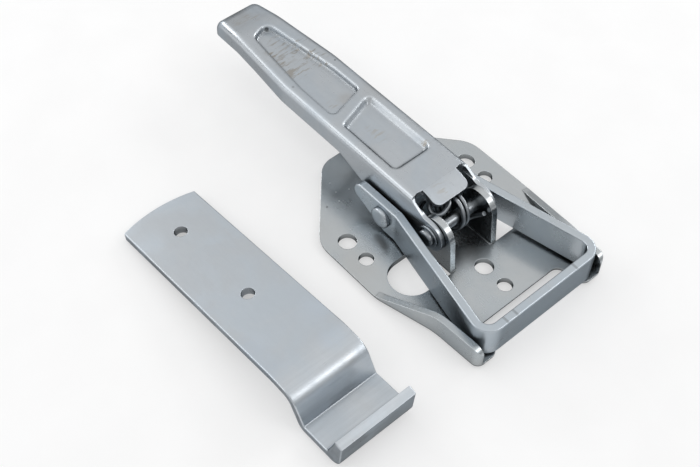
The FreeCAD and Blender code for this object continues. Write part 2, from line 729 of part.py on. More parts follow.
def make_rivets():
    """Two rivets, each fast in a wall of the lever, on which the loop's arms turn."""
    rivets = []
    x, z = "Sizes.rivet_x", "Sizes.rivet_z"
    wall = "(Sizes.lever_half - Sizes.lever_gauge)"
    arm = "(Sizes.lever_half + Sizes.loop_gap + Sizes.loop_gauge + Sizes.face_clear)"
    for side, sign in (("left", -1), ("right", 1)):
        low = f"-{arm} - Sizes.rivet_head_t" if sign < 0 else f"{wall} - Sizes.rivet_tail_t"
        length = f"{arm} + Sizes.rivet_head_t - {wall} + Sizes.rivet_tail_t"
        shank = rod(f"{side}_rivet_shank", x, z, low, "rivet_d", length)
        head = rod(f"{side}_rivet_head", x, z, f"-{arm} - Sizes.rivet_head_t" if sign < 0 else arm,
                   "rivet_head_d", "Sizes.rivet_head_t")
        tail = rod(f"{side}_rivet_tail", x, z, f"-{wall}" if sign < 0 else f"{wall} - Sizes.rivet_tail_t",
                   "rivet_tail_d", "Sizes.rivet_tail_t")
        rivets.append(fuse(f"{side}_rivet", [shank, head, tail]))
    return rivets


# Torsion spring: a coil that hangs on the pin, a bow under the lip and two legs

def spring_path():
    """Points along the wire: front leg, coil, bow under the lip, rear leg down to the plate."""
    hang = S.coil_r - S.wire_d / 2 - S.pin_d / 2 - 0.4
    centre = (S.pivot_x - hang, S.pivot_z + 0.2)
    end = S.coil_start + S.coil_pitch * S.coil_turns
    steps = 16
    start = math.radians(290)
    unit = S.coil_r
    leg = [(0.99, 1.27, 0.18), (0.77, 1.23, -0.08), (0.51, 1.14, -0.35), (0.24, 0.94, -0.65)]
    points = [Vector(S.pivot_x + x * unit, y * unit, S.pivot_z + z * unit) for x, y, z in leg]
    for i in range(int(steps * (S.coil_turns + 0.45)) + 1):
        turn = i / steps
        angle = start - 2 * math.pi * turn
        rise = S.coil_r * math.sin(angle)
        points.append(Vector(
            centre[0] + S.coil_r * math.cos(angle),
            end - S.coil_pitch * turn + S.coil_lean * rise,
            centre[1] + rise,
        ))
    bow = [
        (-0.74, -0.09, 0.99), (-0.45, -0.22, 0.92), (-0.36, -0.49, 0.76), (-0.34, -0.81, 0.65),
        (-0.44, -1.11, 0.61), (-0.72, -1.28, 0.63), (-0.99, -1.23, 0.73), (-1.22, -1.04, 0.81),
        (-1.58, -0.90, 0.70), (-1.88, -0.86, 0.24), (-2.24, -0.90, -1.06),
    ]
    points += [Vector(S.pivot_x + x * unit, y * unit, S.pivot_z + z * unit) for x, y, z in bow]
    points.append(Vector(S.pivot_x - 2.64 * unit, -0.9 * unit, S.base_gauge + S.wire_d / 2 + 0.3))
    return points


def make_spring():
    points = spring_path()
    curve = Part.BSplineCurve()
    curve.interpolate(points)
    wire = Part.Wire([curve.toShape()])
    way = curve.tangent(curve.FirstParameter)[0]
    ring = Part.Wire([Part.Circle(points[0], way, S.wire_d / 2).toShape()])
    spring = doc.addObject("Part::Feature", "torsion_spring")
    spring.Label = "torsion_spring"
    spring.Shape = wire.makePipeShell([ring], True, True)
    return spring


# Hook plate: bent flat bar with a tray and a lip

def hook_path():
    """Top line of the hook plate from its lip to its rear edge, in its own frame."""
    crown = S.hook_flat + S.hook_crown
    step = crown + S.hook_step_run
    tray = step + S.hook_tray
    crown_z = S.hook_gauge - S.hook_crown_drop
    step_z = crown_z - S.hook_step_drop
    tray_z = step_z - S.hook_tray_drop
    return [
        (tray + S.hook_lip_lean, tray_z + S.hook_lip_rise, 0),
        (tray, tray_z, 1.8),
        (step, step_z, 0.6),
        (crown, crown_z, S.hook_crown_round),
        (S.hook_flat, S.hook_gauge, 30.0),
        (-S.hook_bulge, S.hook_gauge, 0),
    ]


def hook_outline():
    """Side view of the hook plate: a bent bar whose lip stands on a thickened foot."""
    outline = strip(hook_path(), S.hook_gauge)
    step, foot = outline[-3], outline[-2]
    tray = hook_path()[1]
    toe_x = tray[0] + S.hook_toe
    fall = (foot[1] - step[1]) / (foot[0] - step[0])
    outline[-2] = (toe_x, foot[1] + fall * (toe_x - foot[0]), S.hook_toe_round)
    return outline


def lie_flat():
    """Tilt and lift that rest the plate on its rear edge and on its tray."""
    outline = hook_outline()
    count = len(outline)
    feet = []
    for i in (count - 3, count - 2):
        start, middle, end = corner_round(outline[i - 1], outline[i], outline[(i + 1) % count], outline[i][2])
        inward = (start + end) * 0.5 - Vector(outline[i][0], outline[i][1], 0)
        centre = middle + inward.normalize() * outline[i][2]
        feet.append((centre.x, centre.y, outline[i][2]))
    low, high = 0.0, math.radians(30)
    for _ in range(60):
        tilt = (low + high) / 2
        rear = -S.hook_bulge * math.sin(tilt)
        front = min(x * math.sin(tilt) + z * math.cos(tilt) - r for x, z, r in feet)
        low, high = (tilt, high) if front < rear else (low, tilt)
    return math.degrees(tilt), -rear


def make_hook_plate():
    body = new_body("hook_plate")
    side = new_sketch(body, "hook_side", "XZ_Plane")
    draw(side, hook_outline())
    pad(body, side, "Sizes.hook_width", midplane=True)

    half = S.hook_width / 2
    rear = new_sketch(body, "hook_rear", "XY_Plane")
    left = Vector(0, half, 0)
    right = Vector(0, -half, 0)
    back = [Vector(-MARGIN, -half, 0), Vector(-MARGIN, half, 0)]
    rear.addGeometry(Part.Arc(right, Vector(-S.hook_bulge, 0, 0), left), False)
    rear.addGeometry(Part.LineSegment(left, back[1]), False)
    rear.addGeometry(Part.LineSegment(back[1], back[0]), False)
    rear.addGeometry(Part.LineSegment(back[0], right), False)
    pocket(body, rear, "2 * Sizes.hook_gauge", reverse=True)

    def rim(edge):
        (x0, y0, z0), (x1, y1, z1) = span(edge)
        along = abs(abs(y0) - half) < 1e-4 and abs(y1 - y0) < 1e-6 and edge.Length > 1.5
        return along

    round_edges(body, "hook_rims", rim, "Sizes.hook_gauge * 0.14")
    holes = new_sketch(body, "hook_holes", "XY_Plane")
    draw_circle(holes, S.hook_hole_1, 0, "hook_hole_d")
    draw_circle(holes, S.hook_hole_2, 0, "hook_hole_d")
    pocket(body, holes, "2 * Sizes.hook_gauge", reverse=True)

    tilt, lift = lie_flat()
    body.Placement = Placement(Vector(-S.hook_x, -S.hook_y, lift), Rotation(Vector(0, 1, 0), -tilt))
    return body


# Build, check and write

pieces = [make_base(), make_lever(), make_loop(), make_pin(), make_washer(), *make_rivets(),
          make_spring(), make_hook_plate()]
doc.recompute()
for item in doc.Objects:
    if "Invalid" in item.State or "Error" in item.State:
        raise RuntimeError(f"{item.Name} failed: {item.State}")
os.makedirs("parts", exist_ok=True)
for piece in pieces:
    shape = piece.Shape
    if shape.isNull() or not shape.isValid() or len(shape.Solids) != 1:
        raise RuntimeError(f"{piece.Label} isn't one sound solid: {len(shape.Solids)}")
for piece in pieces:
    piece.Shape.exportStep(f"parts/{piece.Label}.step")
    box = piece.Shape.BoundBox
    print(f"{piece.Label}: {piece.Shape.Volume:.0f} mm3, "
          f"x {box.XMin:.1f}..{box.XMax:.1f}, y {box.YMin:.1f}..{box.YMax:.1f}, z {box.ZMin:.1f}..{box.ZMax:.1f}")
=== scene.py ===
"""Looks of the trailer drop side latch: zinc finishes, turned pins and rivets, and the stage."""

import math

import bpy
from mathutils import Matrix, Vector


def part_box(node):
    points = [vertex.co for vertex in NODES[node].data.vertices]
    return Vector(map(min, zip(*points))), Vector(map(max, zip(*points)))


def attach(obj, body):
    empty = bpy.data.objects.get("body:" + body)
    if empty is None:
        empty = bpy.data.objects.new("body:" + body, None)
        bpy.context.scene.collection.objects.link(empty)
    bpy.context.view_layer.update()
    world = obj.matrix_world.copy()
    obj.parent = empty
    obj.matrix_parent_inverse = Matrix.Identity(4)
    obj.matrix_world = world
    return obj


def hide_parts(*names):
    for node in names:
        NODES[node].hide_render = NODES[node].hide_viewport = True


bl_info = {
    "name": "Drop side latch",
    "version": (1, 0, 0),
    "blender": (4, 5, 0),
    "location": "View3D > Sidebar > Latch",
    "description": "Dresses a trailer drop side latch and its hook plate",
    "category": "Object",
}

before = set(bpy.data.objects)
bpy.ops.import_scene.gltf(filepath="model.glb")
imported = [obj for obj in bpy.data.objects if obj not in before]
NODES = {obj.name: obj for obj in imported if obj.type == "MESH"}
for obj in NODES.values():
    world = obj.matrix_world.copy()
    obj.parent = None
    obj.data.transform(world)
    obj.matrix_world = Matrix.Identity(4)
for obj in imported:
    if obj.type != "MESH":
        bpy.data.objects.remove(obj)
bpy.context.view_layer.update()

MM = 0.001

# Fasteners: shanks, formed heads and the edges that tumbling breaks
SHANK_RADIUS = 3.0 * MM
RIVET_HEAD_RADIUS, RIVET_HEAD_HEIGHT = 5.1 * MM, 1.9 * MM
RIVET_TAIL_RADIUS, RIVET_TAIL_HEIGHT = 4.4 * MM, 1.5 * MM
RIVET_TAIL_CROWN = 0.7
PIN_HEAD_RADIUS, PIN_HEAD_HEIGHT = 4.0 * MM, 2.0 * MM
BROKEN_EDGE = 0.12 * MM

# The rings of a head's dome, each a share of the dome's height and a share of the head's radius
DOME = ((0.45, 0.975), (0.30, 0.93), (0.17, 0.86), (0.08, 0.72))
UNDERSIDE_SHARE = 0.985
TOP_SHARE = 0.05

# Turned and punched pieces lie along Y, and their end faces are found by normal and place
ACROSS = (math.radians(90), 0, 0)
SIDES = 64
SMOOTH_ANGLE = math.radians(32)
RIM_ANGLE = math.radians(50)
FACING = 0.9
LEVEL_WITHIN = 0.01 * MM
MERGE_WITHIN = 0.001 * MM

# The patterns of the plating and the floor: waves to the metre, octaves, roughness, distortion
CLOUDS = (38, 4, 0.55, 0.6)
STAINS = (26, 2, 0.5, 0.5)
GRAIN = (420, 5, 0.6, 0.0)
LINES = (900, 3, 0.5, 0.0)
STREAKS = (620, 4, 0.65, 0.0)
SCRATCHES = (620, 3, 0.6, 0.4)
PITS = (760, 2, 0.5, 0.0)
SWELL = (60, 2, 0.5, 0.0)
FLOOR_CLOUDS = (30, 3, 0.5, 0.0)

# Where each pattern starts to show and where it shows in full. Most noise is in the usual range.
USUAL_RANGE = (0.3, 0.7)
CLOUD_RANGE = (0.38, 0.66)
STAIN_RANGE = (0.50, 0.80)
RAGGED_RANGE = (0.25, 0.60)
SCRATCH_RANGE = (0.50, 0.62)
PIT_RANGE = (0.70, 0.80)

# How the stretched patterns lie
STAIN_STRETCH, STAIN_PLACE = (1.0, 1.6, 1.0), (3.1, 0.4, 1.7)
STREAK_STRETCH = (1.0, 0.05, 0.6)
SCRATCH_STRETCH, SCRATCH_TURN = (1.0, 0.22, 1.0), (0, 0, math.radians(25))

# How strongly each pattern shows in the colour, the roughness and the relief
STAIN_SHARE = 0.22
RAGGED_SHARE = 0.55
MOTTLE_SHADE, MOTTLE_ROUGH, MOTTLE_HEIGHT = 0.022, 0.03, 0.35
STREAK_SHADE, STREAK_MOTTLE = 0.05, 2.0
SMOOTH_CLOUD, ROUGH_CLOUD = 0.88, 1.18
SWELL_HEIGHT = 2.2
BUMP_STRENGTH, BUMP_DISTANCE = 0.09, 0.12 * MM

# Edge wear with a painted sheen, painted shade in the creases and painted shade in the nooks: how
# far they look for other metal, how much they cover and their shade against zinc. The ranges say
# how far a rubbed edge's normal leans and how open the place of each is.
CREASE_REACH, NOOK_REACH = 1.6 * MM, 20 * MM
RUB_SHEEN_SHARE, CREASE_SHARE = 0.60, 0.70
RUB_SHEEN_TONE, CREASE_SHADE, NOOK_SHADE_TONE = 1.40, 0.25, 0.28
RUB_SHEEN_LEAN = (0.80, 0.985)
RUB_SHEEN_OPEN = (0.80, 0.97)
CREASE_OPEN = (0.62, 0.93)
NOOK_CLOSED = 0.15
SHELTER_SAMPLES, ROUNDING_SAMPLES = 8, 10

# The lever's dishes: lowest and highest corner, and the radius of their pressed edges
DISHES = ((-0.112, -0.0135, 0.0288), (0.0045, 0.0135, 0.0340), 0.0020)
REGION_BORDER = 0.5 * MM

# Where the hook plate's bend starts to strain the plating and where it does so in full, along X
HOOK_BEND = (0.034, 0.048)

# Marks in the plating, and a few dark spots of painted shade. A row gives a mark's middle in the
# frame, its reach and the width of its soft border, all in metres, then its shade, what it adds to
# the roughness, and its warmth: 0 is the zinc's colour, 1 the stain's, and below 0 is cooler. A
# mark warmer than BRUSHED is drawn in fine scratches.
BRUSHED = 0.5
BASE_MARKS = (
    # Painted shade: three dark spots for the dark reflection in a dent by the left ear
    ((0.0073, -0.0248, 0.003), 0.0006, 0.003, 0.60, 0.06, 0.0),
    ((0.0100, -0.0254, 0.003), 0.0006, 0.003, 0.55, 0.06, 0.0),
    ((0.0128, -0.0258, 0.003), 0.0006, 0.002, 0.50, 0.06, 0.0),
    # Painted shade on the base between the ears, below the spring
    ((0.0330, 0.0005, 0.003), 0.004, 0.012, 0.62, 0.05, 0.0),
    ((-0.0206, -0.0306, 0.003), 0.0003, 0.0004, 0.45, 0.1, 0.0),
    ((-0.0222, -0.0162, 0.003), 0.0002, 0.0003, 1.45, 0.1, 0.0),
    ((-0.0198, -0.0242, 0.003), 0.0002, 0.0003, 1.45, 0.1, 0.0),
    ((-0.0305, -0.0205, 0.003), 0.0002, 0.0003, 1.45, 0.1, 0.0),
    ((-0.0247, -0.0219, 0.003), 0.0002, 0.0003, 1.45, 0.1, 0.0),
)
LEVER_MARKS = (
    # Painted shade: two dark spots for the slits at the ends of the dishes
    ((-0.1050, 0.0030, 0.0310), 0.0009, 0.0007, 0.15, 0.2, 0.0),
    ((-0.0389, 0.0076, 0.0308), 0.0005, 0.0005, 0.12, 0.2, 0.0),
    ((-0.0151, -0.0160, 0.0330), 0.0003, 0.0006, 0.50, 0.2, 0.0),
    ((-0.0664, 0.0129, 0.0330), 0.0002, 0.0005, 0.35, 0.2, 0.0),
    ((-0.0900, -0.0048, 0.0303), 0.001, 0.006, 0.80, 0.08, 1.0),
    ((-0.0830, -0.0056, 0.0303), 0.001, 0.006, 0.80, 0.08, 1.0),
    ((-0.0760, -0.0062, 0.0303), 0.001, 0.006, 0.80, 0.08, 1.0),
    ((-0.0940, 0.0010, 0.0303), 0.001, 0.007, 0.82, 0.08, 1.0),
    ((-0.0850, 0.0030, 0.0303), 0.001, 0.006, 0.82, 0.08, 1.0),
    ((-0.0750, 0.0040, 0.0303), 0.001, 0.006, 0.82, 0.08, 1.0),
    ((-0.0860, 0.0092, 0.0320), 0.002, 0.003, 0.74, 0.08, 1.0),
    ((-0.0780, 0.0095, 0.0320), 0.002, 0.003, 0.74, 0.08, 1.0),
    ((-0.0700, 0.0099, 0.0320), 0.002, 0.003, 0.74, 0.08, 1.0),
    ((-0.0460, 0.0020, 0.0303), 0.001, 0.005, 0.94, 0.08, 0.4),
    ((-0.1160, 0.0010, 0.0330), 0.002, 0.005, 0.95, 0.08, 0.6),
    ((-0.1155, -0.0048, 0.0330), 0.001, 0.004, 0.95, 0.08, 0.6),
    ((-0.0246, 0.0001, 0.0303), 0.001, 0.004, 0.93, 0.08, 0.6),
    ((-0.0193, -0.0011, 0.0303), 0.001, 0.004, 0.94, 0.08, 0.6),
    ((-0.0024, 0.0101, 0.0320), 0.001, 0.003, 0.84, 0.08, 1.0),
    ((0.0220, -0.0020, 0.0330), 0.001, 0.006, 0.92, 0.08, 0.6),
    ((0.0216, -0.0090, 0.0330), 0.0005, 0.0025, 0.80, 0.08, 1.0),
    ((-0.0454, 0.0112, 0.0320), 0.0005, 0.002, 0.80, 0.08, 1.0),
    ((-0.0735, -0.0034, 0.0303), 0.001, 0.006, 0.84, 0.08, 1.0),
    ((-0.0475, -0.0043, 0.0303), 0.001, 0.003, 0.92, 0.08, 0.6),
    ((-0.0906, -0.0129, 0.0280), 0.0004, 0.0008, 0.55, 0.1, 0.0),
    ((-0.0653, -0.0129, 0.0330), 0.0003, 0.0006, 0.60, 0.1, 0.0),
)
LOOP_MARKS = tuple(
    ((x, y, 0.0208), 0.0003, 0.0006, 0.60, 0.12, 0.0)
    for y in (-0.0226, -0.0171, 0.0181) for x in (0.0794, 0.0802, 0.0810, 0.0818))
HOOK_MARKS = (
    ((0.0250, -0.0745, 0.0158), 0.002, 0.009, 0.90, 0.02, -0.5),
    ((0.0400, -0.0785, 0.0170), 0.002, 0.008, 0.91, 0.02, -0.5),
    ((0.0230, -0.1062, 0.0156), 0.002, 0.009, 0.90, 0.02, -0.5),
    ((0.0350, -0.1075, 0.0169), 0.002, 0.010, 0.89, 0.02, -0.5),
)

# The floor lies a little below the mounting face and shares its shade with plain white
FLOOR_DROP = 0.3 * MM
FLOOR_DARK, FLOOR_PALE = (0.86, 0.86, 0.86), (0.89, 0.89, 0.89)
FLOOR_WHITE = 0.45

# The sky: colours below, level with and above the object, and the height of the middle one
SKY_LOW, SKY_MIDDLE, SKY_HIGH = (0.27, 0.28, 0.29, 1), (0.80, 0.80, 0.80, 1), (1.0, 1.0, 1.0, 1)
SKY_MIDDLE_AT = 0.62
SKY_STRENGTH = 0.94

# The lamps: name, place, width and height in metres, power in watts
LAMP_AIM = (-0.02, -0.03, 0.0)
LAMPS = (
    ("low_left", (-1.12, -0.18, 0.46), (0.7, 0.35), 3.0),
    ("low_back", (-0.05, 1.10, 0.55), (0.7, 0.35), 3.8),
    ("strip_left", (-0.50, -0.72, 0.72), (0.9, 0.40), 1.35),
    ("low_front", (-0.55, -1.05, 0.26), (0.8, 0.30), 1.0),
    ("box_right", (0.72, 0.52, 0.80), (0.6, 0.35), 1.75),
)

# The camera: lens and sensor in mm, turn in degrees, and shift in mm along its own axes
LENS, SENSOR_WIDTH = 58.89, 36.0
CLIP_START = 0.01
AZIMUTH, ELEVATION, ROLL = -41.60, 52.38, 1.03
SHIFT_RIGHT, SHIFT_UP, SHIFT_BACK = -26.29, -13.27, 519.3


# What a user would change

class LatchFinish(bpy.types.PropertyGroup):
    """Colours and gloss of the plating"""
    zinc: bpy.props.FloatVectorProperty(
        name="Zinc", description="Colour of the zinc plating", subtype="COLOR", size=3,
        min=0, max=1, default=(0.53, 0.563, 0.593))
    bluish: bpy.props.FloatVectorProperty(
        name="Passivation", description="Cooler tint the passivated plating shows in patches",
        subtype="COLOR", size=3, min=0, max=1, default=(0.495, 0.540, 0.582))
    warm: bpy.props.FloatVectorProperty(
        name="Stain", description="Light brownish tint of the plating's stains", subtype="COLOR",
        size=3, min=0, max=1, default=(0.47, 0.457, 0.432))
    gloss: bpy.props.FloatProperty(
        name="Roughness", description="Roughness of the plated faces",
        min=0.05, max=1, default=0.30)
    edge_tint: bpy.props.FloatProperty(
        name="Grazing tint", description="How much the plating keeps its shine at grazing angles",
        subtype="FACTOR", min=0, max=1, default=0.05)
    edge_round: bpy.props.FloatProperty(
        name="Edge rounding", description="Radius that tumbling leaves on the edges",
        subtype="DISTANCE", unit="LENGTH", min=0, max=0.002, default=0.00035)


class LatchSizes(bpy.types.PropertyGroup):
    """Shape of the formed heads, and the floor"""
    rivet_crown: bpy.props.FloatProperty(
        name="Rivet crown", description="Part of a rivet head's height that is domed",
        subtype="FACTOR", min=0, max=1, default=0.35)
    pin_crown: bpy.props.FloatProperty(
        name="Pin crown", description="Part of a pin head's height that is domed",
        subtype="FACTOR", min=0, max=1, default=0.6)
    floor_size: bpy.props.FloatProperty(
        name="Floor", description="Width of the floor", subtype="DISTANCE", unit="LENGTH",
        min=0.5, default=40.0)


# Shaping helpers

def middle(node):
    """Middle of a node's box, in metres."""
    low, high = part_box(node)
    return (low + high) / 2


def set_aside():
    """Leave edit mode and deselect everything."""
    if bpy.context.object and bpy.context.object.mode != "OBJECT":
        bpy.ops.object.mode_set(mode="OBJECT")
    bpy.ops.object.select_all(action="DESELECT")


def take_up(piece):
    """Make a piece active, and the only one selected."""
    set_aside()
    piece.select_set(True)
    bpy.context.view_layer.objects.active = piece


def pick_faces(piece, test):
    """In edit mode, select only the faces whose middle and normal pass a test."""
    bpy.ops.mesh.select_all(action="DESELECT")
    bpy.ops.object.mode_set(mode="OBJECT")
    for face in piece.data.polygons:
        face.select = test(face.center, face.normal)
    bpy.ops.object.mode_set(mode="EDIT")


def settle(piece, body, material, node):
    """Freeze a fastener's place, hand it to its body for its node and give it its finish."""
    take_up(piece)
    bpy.ops.object.transform_apply(location=True, rotation=True, scale=True)
    bpy.ops.object.mode_set(mode="EDIT")
    bpy.ops.mesh.select_all(action="SELECT")
    bpy.ops.mesh.remove_doubles(threshold=MERGE_WITHIN)
    bpy.ops.mesh.normals_make_consistent(inside=False)
    bpy.ops.object.mode_set(mode="OBJECT")
    bpy.ops.object.shade_smooth_by_angle(angle=SMOOTH_ANGLE)
    piece.data.materials.clear()
    piece.data.materials.append(material)
    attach(piece, body)
    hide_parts(node)


def turned(name, x, z, y0, y1, ends):
    """A turned piece along Y: a shank from y0 to y1 whose two ends are drawn out in steps.

    ends holds, for the low end and then the high end, steps of (advance, radius) in metres.
    """
    set_aside()
    bpy.ops.mesh.primitive_cylinder_add(
        vertices=SIDES, radius=SHANK_RADIUS, depth=y1 - y0, location=(x, (y0 + y1) / 2, z),
        rotation=ACROSS)
    piece = bpy.context.object
    piece.name = piece.data.name = name
    bpy.ops.object.transform_apply(location=True, rotation=True, scale=True)
    bpy.ops.object.mode_set(mode="EDIT")
    for side, at, steps in zip((-1, 1), (y0, y1), ends):
        pick_faces(piece, lambda c, n: n.y * side > FACING and abs(c.y - at) < LEVEL_WITHIN)
        now = SHANK_RADIUS
        for advance, following in steps:
            bpy.ops.mesh.extrude_region_move(
                TRANSFORM_OT_translate={"value": (0, side * advance, 0), "orient_type": "GLOBAL"})
            at += side * advance
            ratio = following / now
            bpy.ops.transform.resize(value=(ratio, 1, ratio), center_override=(x, at, z))
            now = following
    bpy.ops.object.mode_set(mode="OBJECT")
    return piece


def head(radius, height, crown):
    """Steps that draw out a formed head: flat underside, straight rim, domed shoulder, flat top."""
    rim = height * (1 - crown)
    dome = height - rim
    return [
        (0.0, radius * UNDERSIDE_SHARE),
        (BROKEN_EDGE, radius),
        (rim - BROKEN_EDGE, radius),
        *((dome * rise, radius * share) for rise, share in DOME),
        (0.0, radius * TOP_SHARE),
    ]


# Finishes

class Board:
    """The node tree of a new material or world, with short calls to place and join nodes.

    Each call takes a plain value or another node's output, and gives the new node's output.
    """

    def __init__(self, owner):
        owner.use_nodes = True
        self.owner = owner
        self.tree = owner.node_tree
        self.tree.nodes.clear()

    def add(self, kind, inputs=None, **settings):
        """The node itself, with its settings and its inputs."""
        node = self.tree.nodes.new(kind)
        for name, value in settings.items():
            setattr(node, name, value)
        for name, value in (inputs or {}).items():
            self.feed(node.inputs[name], value)
        return node

    def feed(self, socket, value):
        """Give an input its value, or join another node's output to it."""
        if isinstance(value, bpy.types.NodeSocket):
            self.tree.links.new(value, socket)
        else:
            socket.default_value = value

    def noise(self, vector, waves, octaves, rough, warp):
        """One of the patterns above, around 0.5."""
        return self.add("ShaderNodeTexNoise", {
            "Vector": vector, "Scale": waves, "Detail": octaves, "Roughness": rough,
            "Distortion": warp}).outputs["Fac"]

    def mapped(self, vector, scale=(1, 1, 1), place=(0, 0, 0), turn=(0, 0, 0)):
        """A vector stretched, turned and moved."""
        return self.add("ShaderNodeMapping", {
            "Vector": vector, "Scale": scale, "Location": place,
            "Rotation": turn}).outputs["Vector"]

    def span(self, value, low, high, to_low=0.0, to_high=1.0):
        """A value that goes smoothly from to_low to to_high as its source goes low to high."""
        return self.add("ShaderNodeMapRange", {
            "Value": value, "From Min": low, "From Max": high, "To Min": to_low,
            "To Max": to_high}, interpolation_type="SMOOTHSTEP").outputs["Result"]

    def math(self, operation, first, second, kind="ShaderNodeMath"):
        """A sum, difference, product or maximum of two numbers."""
        node = self.add(kind, operation=operation)
        self.feed(node.inputs[0], first)
        self.feed(node.inputs[1], second)
        return node.outputs["Value"]

    def measure(self, operation, first, second):
        """A distance or dot product of two vectors."""
        return self.math(operation, first, second, "ShaderNodeVectorMath")

    def shaded(self, colour, change):
        """A colour made lighter or darker by a share of itself."""
        by = self.math("ADD", change, 1.0)
        node = self.add("ShaderNodeVectorMath", {"Scale": by}, operation="SCALE")
        self.feed(node.inputs[0], colour)
        return node.outputs["Vector"]

    def blend(self, share, first, second):
        """Mix two colours, each a tuple or another node's output."""
        node = self.add("ShaderNodeMix", {"Factor": share}, data_type="RGBA")
        colours = [socket for socket in node.inputs if socket.type == "RGBA"]
        for socket, value in zip(colours, (first, second)):
            self.feed(socket, (*value, 1) if isinstance(value, tuple) else value)
        return [socket for socket in node.outputs if socket.type == "RGBA"][0]

    def axes(self, vector):
        """A vector's X, Y and Z, by name."""
        return self.add("ShaderNodeSeparateXYZ", {"Vector": vector}).outputs

    def near(self, vector, centre, reach, soft):
        """1 within a reach of a point, falling to 0 over a soft border."""
        gap = self.measure("DISTANCE", vector, centre)
        return self.span(gap, reach, reach + soft, 1.0, 0.0)

    def shelter(self, reach, **settings):
        """1 in the open, falling to 0 where other faces stand within a reach."""
        return self.add("ShaderNodeAmbientOcclusion", {"Distance": reach},
                        samples=SHELTER_SAMPLES, **settings).outputs["AO"]


def scaled(colour, by):
    """A colour times a number, or times a number for each channel."""
    by = by if isinstance(by, tuple) else (by, by, by)
    return tuple(min(1.0, c * b) for c, b in zip(colour, by))


def rounded_edges(board, place, radius, pressed):
    """A normal that rounds the edges, and more so within a region that is pressed soft."""
    rounding = board.add("ShaderNodeBevel", {"Radius": radius}, samples=ROUNDING_SAMPLES)
    if pressed:
        low, high, soft_radius = pressed
        axes = board.axes(place)
        inside = 1.0
        for axis, start, stop in zip("XYZ", low, high):
            above = board.span(axes[axis], start, start + REGION_BORDER)
            below = board.span(axes[axis], stop - REGION_BORDER, stop, 1.0, 0.0)
            inside = board.math("MULTIPLY", board.math("MULTIPLY", above, below), inside)
        board.feed(rounding.inputs["Radius"], board.span(inside, 0, 1, radius, soft_radius))
    return rounding.outputs["Normal"]


def edge_wear_sheen_and_crease_shade(board, colour, zinc, rounded):
    """Lighten open edges as wear and painted sheen, and paint shade into the creases."""
    true = board.add("ShaderNodeNewGeometry").outputs["True Normal"]
    rub_sheen = board.span(board.measure("DOT_PRODUCT", rounded, true), *RUB_SHEEN_LEAN, 1.0, 0.0)
    shelter = board.shelter(CREASE_REACH, only_local=True)
    rub_sheen = board.math("MULTIPLY", rub_sheen, board.span(shelter, *RUB_SHEEN_OPEN))
    colour = board.blend(board.math("MULTIPLY", rub_sheen, RUB_SHEEN_SHARE), colour, scaled(zinc, RUB_SHEEN_TONE))
    crease = board.math("SUBTRACT", 1.0, board.span(shelter, *CREASE_OPEN))
    crease = board.math("MULTIPLY", crease, CREASE_SHARE)
    return board.blend(crease, colour, scaled(zinc, CREASE_SHADE))


def bend_streaks(board, place, start, full):
    """Fine streaks along Y, from -1 to 1, that come in between two places on X."""
    streaks = board.noise(board.mapped(place, STREAK_STRETCH), *STREAKS)
    strained = board.span(board.axes(place)["X"], start, full)
    return board.math("MULTIPLY", board.span(streaks, *USUAL_RANGE, -1.0, 1.0), strained)


def marked(board, place, fine, colour, rough, zinc, warm, marks):
    """Lay marks over a colour and a roughness, each with a ragged border or drawn in scratches."""
    ragged = board.span(fine, *RAGGED_RANGE, RAGGED_SHARE, 1.0)
    brushed = board.mapped(place, SCRATCH_STRETCH, turn=SCRATCH_TURN)
    brushed = board.span(board.noise(brushed, *SCRATCHES), *SCRATCH_RANGE)
    for centre, reach, soft, shade, dull, warmth in marks:
        cover = board.near(place, centre, reach, soft)
        cover = board.math("MULTIPLY", cover, brushed if warmth > BRUSHED else ragged)
        tint = tuple(z * (1 - warmth) + w * warmth for z, w in zip(zinc, warm))
        colour = board.blend(cover, colour, scaled(tint, shade))
        rough = board.math("ADD", rough, board.math("MULTIPLY", cover, dull))
    return colour, rough


